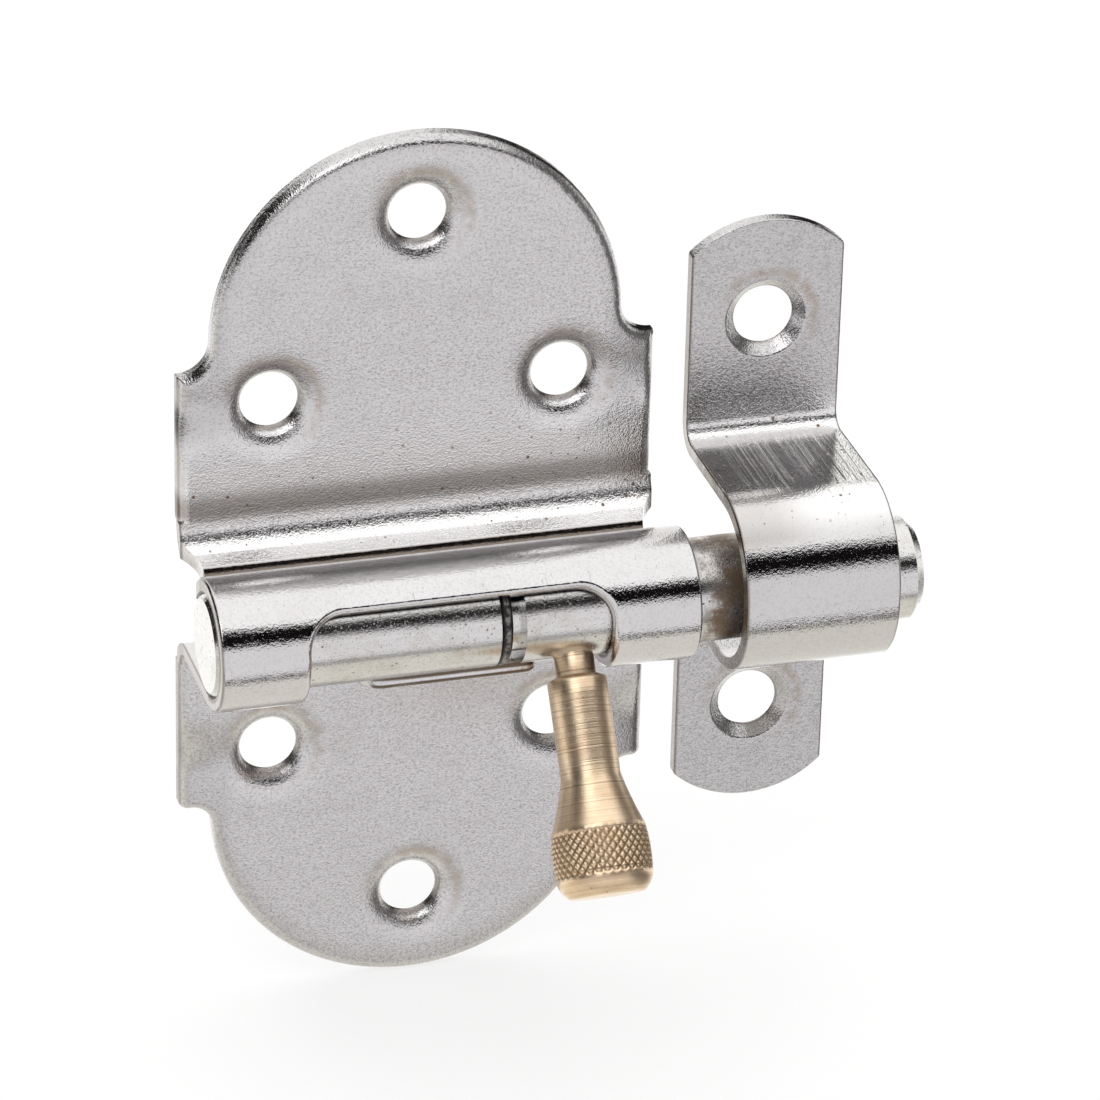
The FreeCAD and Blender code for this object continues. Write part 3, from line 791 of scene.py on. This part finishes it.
# %% The knob's profile
def bowed(start, end, bow, steps):
    """Points of a shallow arc from start to end, whose middle stands out by bow."""
    points = []
    for i in range(steps + 1):
        share = i / steps
        along = start[0] + (end[0] - start[0]) * share
        out = start[1] + (end[1] - start[1]) * share + 4 * bow * share * (1 - share)
        points.append((along, out))
    return points


shoulder = (grip_start + grip_shoulder, grip_radius)
stem_foot = (spigot_foot, stem_radius)
stem_top = (stem_end, stem_radius)
grip_foot = (grip_start, grip_radius - grip_chamfer)
grip_top = (grip_end, grip_radius)
knurl_from = (knurl_start, knurl_start_radius)
knurl_to = (knurl_end, knurl_end_radius)
profile = [(spigot_foot, 0.0), stem_foot]
profile += bowed(stem_foot, stem_top, straight, stem_steps)[1:]
profile += bowed(stem_top, grip_foot, straight, shoulder_steps)[1:]
profile += [shoulder]
profile += bowed(shoulder, grip_top, straight, grip_steps)[1:]
profile += bowed(grip_top, knurl_from, -flare_hollow, flare_steps)[1:]
profile += bowed(knurl_from, knurl_to, knurl_bow, knurl_steps)[1:]
profile += bowed(knurl_to, (knob_end, end_radius), end_bow, end_steps)[1:]
profile += [(knob_end, end_radius / 2), (knob_end, 0.0)]
print("the knob's profile has", len(profile), "points")


# %% Spin the profile and cut the knurl
def knurl_height(turn, along):
    """1 on the tip of a pyramid and 0 in a cut, from the turn in rounds and the place along."""
    cuts = []
    for lean in (1, -1):
        cut = cuts_round * turn + lean * (along - knurl_start) / cut_pitch
        cuts.append(1 - abs(2 * (cut % 1.0) - 1))
    return min(1.0, cut_sharpness * min(cuts))


def turn_knob(name, steps):
    """Spins the profile, sinks the cuts, and brings the knob to its place on the rod."""
    mesh_tool = bmesh.new()
    cut_layer = mesh_tool.verts.layers.float.new("cut")
    corners = [mesh_tool.verts.new((along, out, 0.0)) for along, out in profile]
    edges = [mesh_tool.edges.new(pair) for pair in zip(corners, corners[1:])]
    bmesh.ops.spin(mesh_tool, geom=corners + edges, axis=(1, 0, 0), cent=(0, 0, 0),
                   steps=steps, angle=math.tau, use_merge=True)
    bmesh.ops.remove_doubles(mesh_tool, verts=mesh_tool.verts[:], dist=merge_distance)
    for vert in mesh_tool.verts:
        along, side, up = vert.co
        if knurl_start < along < knurl_end:
            fade = min(1.0, (along - knurl_start) / cut_fade, (knurl_end - along) / cut_fade)
            turn = math.atan2(up, side) / math.tau
            cut = (1 - knurl_height(turn, along)) * fade
            vert[cut_layer] = cut
            shrink = 1 - cut_depth * cut / math.hypot(side, up)
            vert.co = (along, side * shrink, up * shrink)
    bmesh.ops.recalc_face_normals(mesh_tool, faces=mesh_tool.faces[:])
    across = Vector((1.0, 0.0, 0.0))
    turn_to = Matrix((knob_axis, across, knob_axis.cross(across))).transposed().to_4x4()
    move = Matrix.Translation(Vector((knob_x, bolt_axis.y, bolt_axis.z)) * MM)
    place = move @ turn_to @ Matrix.Scale(MM, 4)
    bmesh.ops.transform(mesh_tool, verts=mesh_tool.verts[:], matrix=place)
    mesh = bpy.data.meshes.new(name)
    mesh_tool.to_mesh(mesh)
    mesh_tool.free()
    for face in mesh.polygons:
        face.use_smooth = True
    piece = bpy.data.objects.new(name, mesh)
    bpy.context.scene.collection.objects.link(piece)
    return piece


knob_piece = turn_knob("turned_knob", cuts_round * steps_per_cut)
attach(knob_piece, "bolt")
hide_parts("knob")
print("the turned knob has", len(knob_piece.data.polygons), "faces")

# %% [markdown]
# Brass from the lathe keeps the tool's fine rings and a soft satin sheen. Handling browns it
# in the cuts of the knurl, where dirt stays, and leaves a few dark dots elsewhere. The rings
# could be grooves in the profile, but they are finer than its faces, so they are noise
# along the knob's own axis, in colour and bump.

# %% The brass's colours
brass_colour = (0.76, 0.60, 0.42)
brass_dull = (0.68, 0.50, 0.33)
brass_bright = (0.80, 0.67, 0.49)
ring_brown = (0.36, 0.23, 0.13)
cut_brown = (0.20, 0.115, 0.045)
dot_brown = (0.22, 0.12, 0.05)

# %% Its noises and spots, and their ranges
brass_cloud_noise = (0.5, 4.0, 0.6)
brass_grain_noise = (4.0, 2.0, 0.6)
turning_noise = (5.5, 3.0, 0.7)
dot_spots = (1.1, 0.13)
dot_grouping = 0.7
dot_range = (0.5, 0.6)
dull_range = (0.35, 0.7)
bright_range = (0.5, 0.68)
brown_range = (0.46, 0.32)
cut_range = (0.35, 0.9)

# %% How strong its marks are, and its two bumps in millimetres
bright_share = 0.6
brown_share = 0.65
cut_share = 0.8
dot_share = 0.8
brass_rough = 0.27
brass_cloud_rough = 0.10
cut_rough = 0.1
dot_cover = 0.5
turning_height = 0.02
grain_height = 0.006


# %% The brass finish
def brass(name):
    """Turned brass, browned in the knurl's cuts."""
    material, finish = new_finish(name)
    place = finish.place()
    foot = (knob_x, bolt_axis.y, bolt_axis.z)
    from_foot = finish.vector("SUBTRACT", place, foot)
    run = finish.vector("DOT_PRODUCT", from_foot, tuple(knob_axis), out=1)
    rings = lines_over(finish, run, *turning_noise)
    cloud = finish.noise(place, *brass_cloud_noise)
    grain = finish.noise(place, *brass_grain_noise)
    cut = finish.node("ShaderNodeAttribute", {"attribute_name": "cut"}, None, "Fac")
    dots = finish.spots(place, *dot_spots)
    dots = dots * finish.noise(place, dot_grouping).between(*dot_range)
    colour = finish.mix(brass_colour, brass_dull, cloud.between(*dull_range))
    colour = finish.mix(colour, brass_bright, rings.between(*bright_range) * bright_share)
    colour = finish.mix(colour, ring_brown, rings.between(*brown_range) * brown_share)
    colour = finish.mix(colour, cut_brown, cut.between(*cut_range) * cut_share)
    colour = finish.mix(colour, dot_brown, dots * dot_share)
    rough = brass_rough + cloud * brass_cloud_rough + cut * cut_rough
    metal = 1.0 - dots * dot_cover
    relief = finish.bump(rings, turning_height)
    relief = finish.bump(grain, grain_height, relief)
    close_finish(finish, colour, rough, metal, relief)
    return material


knob_piece.data.materials.append(brass("turned_brass"))
print(knob_piece.name, "wears", knob_piece.data.materials[0].name)

# %% [markdown]
# The studio. Bright metal shows mostly what stands round it, so the surroundings matter as
# much as the finish: a wide white soft box above, a dark gap below it in front, a pale lilac
# wall and a cream table. Real panels could stand there, but each would also have to be kept
# out of every view. So they are zones of the world's direction, with soft edges, and the
# camera alone sees plain white behind the object.

# %% The zones' colours
box_light = (1.42, 1.42, 1.42)
gap_dark = (0.008, 0.007, 0.007)
wall_lilac = (1.035, 1.025, 1.05)
line_dark = (0.02, 0.018, 0.016)
table_cream = (0.98, 0.96, 0.89)
back_white = (1.35, 1.35, 1.33)
side_grey = (0.22, 0.21, 0.21)
side_dark = (0.025, 0.022, 0.020)

# %% Where the zones start, as turns round the bolt's axis, and how soft their edges are
line_start_deg = -46.25
line_edge_deg = 0.75
wall_start_deg = -39.5
wall_edge_deg = 1.0
gap_start_deg = 18.5
gap_edge_deg = 2.0
box_start_deg = 47.0
box_edge_deg = 3.0
back_start_deg = 125.0
back_end_deg = -130.0
back_edge_deg = 15.0

# %% The sides: how far a direction points to the right, and the turns that they take up
right_gap_x = (0.62, 0.8)
right_gap_deg = (30.0, 10.0)
left_box_x = (-0.56, -0.64)
right_box_x = (0.66, 0.80)
raised_from_deg = (15.0, 40.0)
raised_to_deg = (165.0, 135.0)

# %% The world's zones, from the table up over the soft box to the back
world = bpy.data.worlds.new("studio")
world.use_nodes = True
bpy.context.scene.world = world
sky = Finish(world.node_tree)
look = sky.node("ShaderNodeTexCoord", None, None, "Generated")
look_x, look_y, look_z = sky.parts(look)
turn = sky.node("ShaderNodeMath", {"operation": "ARCTAN2"}, {0: look_z, 1: 0.0 - look_y})
turn = turn * math.degrees(1)


def zone(light, colour, start, edge):
    """The colour from that turn on, with a soft edge of that half width, or up to that
    turn where the edge is below 0."""
    return sky.mix(light, colour, turn.between(start - edge, start + edge))


light = zone(table_cream, line_dark, line_start_deg, line_edge_deg)
light = zone(light, wall_lilac, wall_start_deg, wall_edge_deg)
light = zone(light, gap_dark, gap_start_deg, gap_edge_deg)
light = zone(light, box_light, box_start_deg, box_edge_deg)
in_gap = look_x.between(*right_gap_x) * turn.between(*right_gap_deg)
light = sky.mix(light, side_grey, in_gap)
light = zone(light, back_white, back_start_deg, back_edge_deg)
raised = turn.between(*raised_from_deg) * turn.between(*raised_to_deg)
light = sky.mix(light, side_dark, look_x.between(*left_box_x) * raised)
light = sky.mix(light, side_grey, look_x.between(*right_box_x) * raised)
light = zone(light, back_white, back_end_deg, -back_edge_deg)

# %% Two dark flags behind, left and right of the white background
flag_dark = (0.02, 0.018, 0.017)
flag_inner_deg = (19.0, 23.0)
flag_outer_deg = (64.0, 60.0)
flag_foot_deg = (-14.0, -10.0)
flag_top_deg = (37.0, 33.0)

from_back = sky.node("ShaderNodeMath", {"operation": "ARCTAN2"}, {0: look_x, 1: look_y})
from_back = abs(from_back * math.degrees(1))
height = sky.node("ShaderNodeMath", {"operation": "ARCSINE"}, {0: look_z}) * math.degrees(1)
flags = from_back.between(*flag_inner_deg) * from_back.between(*flag_outer_deg)
flags = flags * height.between(*flag_foot_deg) * height.between(*flag_top_deg)
light = sky.mix(light, flag_dark, flags)

# %% What the object sees and what the camera sees
camera_white = (1.0, 1.0, 1.0, 1.0)
lit = sky.node("ShaderNodeBackground", None, {"Color": light, "Strength": 1.0})
seen = sky.node("ShaderNodeBackground", None, {"Color": camera_white, "Strength": 1.0})
by_camera = sky.node("ShaderNodeLightPath", None, None, "Is Camera Ray")
around = sky.node("ShaderNodeMixShader", None, {0: by_camera, 1: lit, 2: seen})
sky.end("ShaderNodeOutputWorld", around)
print("the world has", len(world.node_tree.nodes), "nodes")

# %% [markdown]
# The floor is a plain pale table under the case's lower edge. A white plane would clip to
# white and lose the shadow, so its own colour is a grey that takes the object's soft shadow,
# and for the camera some plain white is added, so that it ends up as white as the
# background. The metal doesn't see it: the world's cream zone is its table.

# %% The floor's plane
floor_reach = 2.0
floor_gap = 0.0002
floor_tool = bmesh.new()
floor_place = Matrix.Translation((0.0, 0.0, cad_low.z - floor_gap))
bmesh.ops.create_grid(floor_tool, x_segments=1, y_segments=1, size=floor_reach,
                      matrix=floor_place)
floor_mesh = bpy.data.meshes.new("table")
floor_tool.to_mesh(floor_mesh)
floor_tool.free()
floor = bpy.data.objects.new("table", floor_mesh)
bpy.context.scene.collection.objects.link(floor)
print("the table lies at z =", round(floor_place.translation.z / MM, 1), "mm")

# %% The floor's material
table_grey = (0.30, 0.30, 0.30, 1.0)
added_white = (0.74, 0.74, 0.74, 1.0)
floor_material, table = new_finish("pale_table")
pale = table.node("ShaderNodeBsdfDiffuse", None, {"Color": table_grey})
glow = table.node("ShaderNodeEmission", None, {"Color": added_white, "Strength": 1.0})
shown = table.node("ShaderNodeAddShader", None, {0: pale, 1: glow})
clear = table.node("ShaderNodeBsdfTransparent")
by_camera = table.node("ShaderNodeLightPath", None, None, "Is Camera Ray")
mixed = table.node("ShaderNodeMixShader", None, {0: by_camera, 1: clear, 2: shown})
table.end("ShaderNodeOutputMaterial", mixed)
floor_mesh.materials.append(floor_material)
print("the table wears", floor_material.name)

# %% [markdown]
# The world alone lights the object from all sides at once, which leaves hardly any shadow. A
# small lamp would draw a hard one, so one large soft lamp, high on the left in front, gives
# the light its direction and the table a soft shadow.

# %% The lamp
lamp_width = 0.7
lamp_power = 1.6
lamp_place = Vector((-0.45, -0.55, 0.75))
lamp_data = bpy.data.lights.new("soft_lamp", "AREA")
lamp_data.shape = "DISK"
lamp_data.size = lamp_width
lamp_data.energy = lamp_power
lamp = bpy.data.objects.new("soft_lamp", lamp_data)
lamp.matrix_world = Matrix.LocRotScale(lamp_place, lamp_place.to_track_quat("Z", "Y"), None)
bpy.context.scene.collection.objects.link(lamp)
print("the lamp stands", round(lamp_place.length, 2), "m away")

# %% [markdown]
# The camera stands where the photograph was taken from: to the left of the object, well
# above it, about half a metre away and with a long lens. It could be aimed by hand until
# the views agree. Here its numbers were found by fitting the solids' edges to the
# photograph, in millimetres and in the photograph's own pixels.

# %% The camera's place, its aim and its lens
camera_azimuth = math.radians(-16.8123)
camera_height = math.radians(27.1392)
camera_roll = math.radians(1.4747)
camera_distance = 565.5006
camera_pan_right = 12.5722
camera_pan_up = 0.5525
focal_pixels = 6228.378
picture_pixels = 1100
sensor_width = 36.0
nearest_seen = 0.01

# %% The camera
level = math.cos(camera_height)
towards = Vector((math.sin(camera_azimuth) * level,
                  -math.cos(camera_azimuth) * level,
                  math.sin(camera_height)))
right = Vector((0.0, 0.0, 1.0)).cross(towards).normalized()
up = towards.cross(right)
rolled_right = right * math.cos(camera_roll) + up * math.sin(camera_roll)
rolled_up = up * math.cos(camera_roll) - right * math.sin(camera_roll)
spot = towards * camera_distance + rolled_right * camera_pan_right + rolled_up * camera_pan_up
camera_data = bpy.data.cameras.new("camera")
camera_data.sensor_width = sensor_width
camera_data.lens = focal_pixels / picture_pixels * sensor_width
camera_data.clip_start = nearest_seen
camera = bpy.data.objects.new("camera", camera_data)
facing = Matrix((rolled_right, rolled_up, towards)).transposed().to_4x4()
camera.matrix_world = Matrix.Translation(spot * MM) @ facing
bpy.context.scene.collection.objects.link(camera)
bpy.context.scene.camera = camera
bpy.context.scene.view_settings.view_transform = "Standard"
print("the camera stands at", [round(v) for v in spot], "mm")
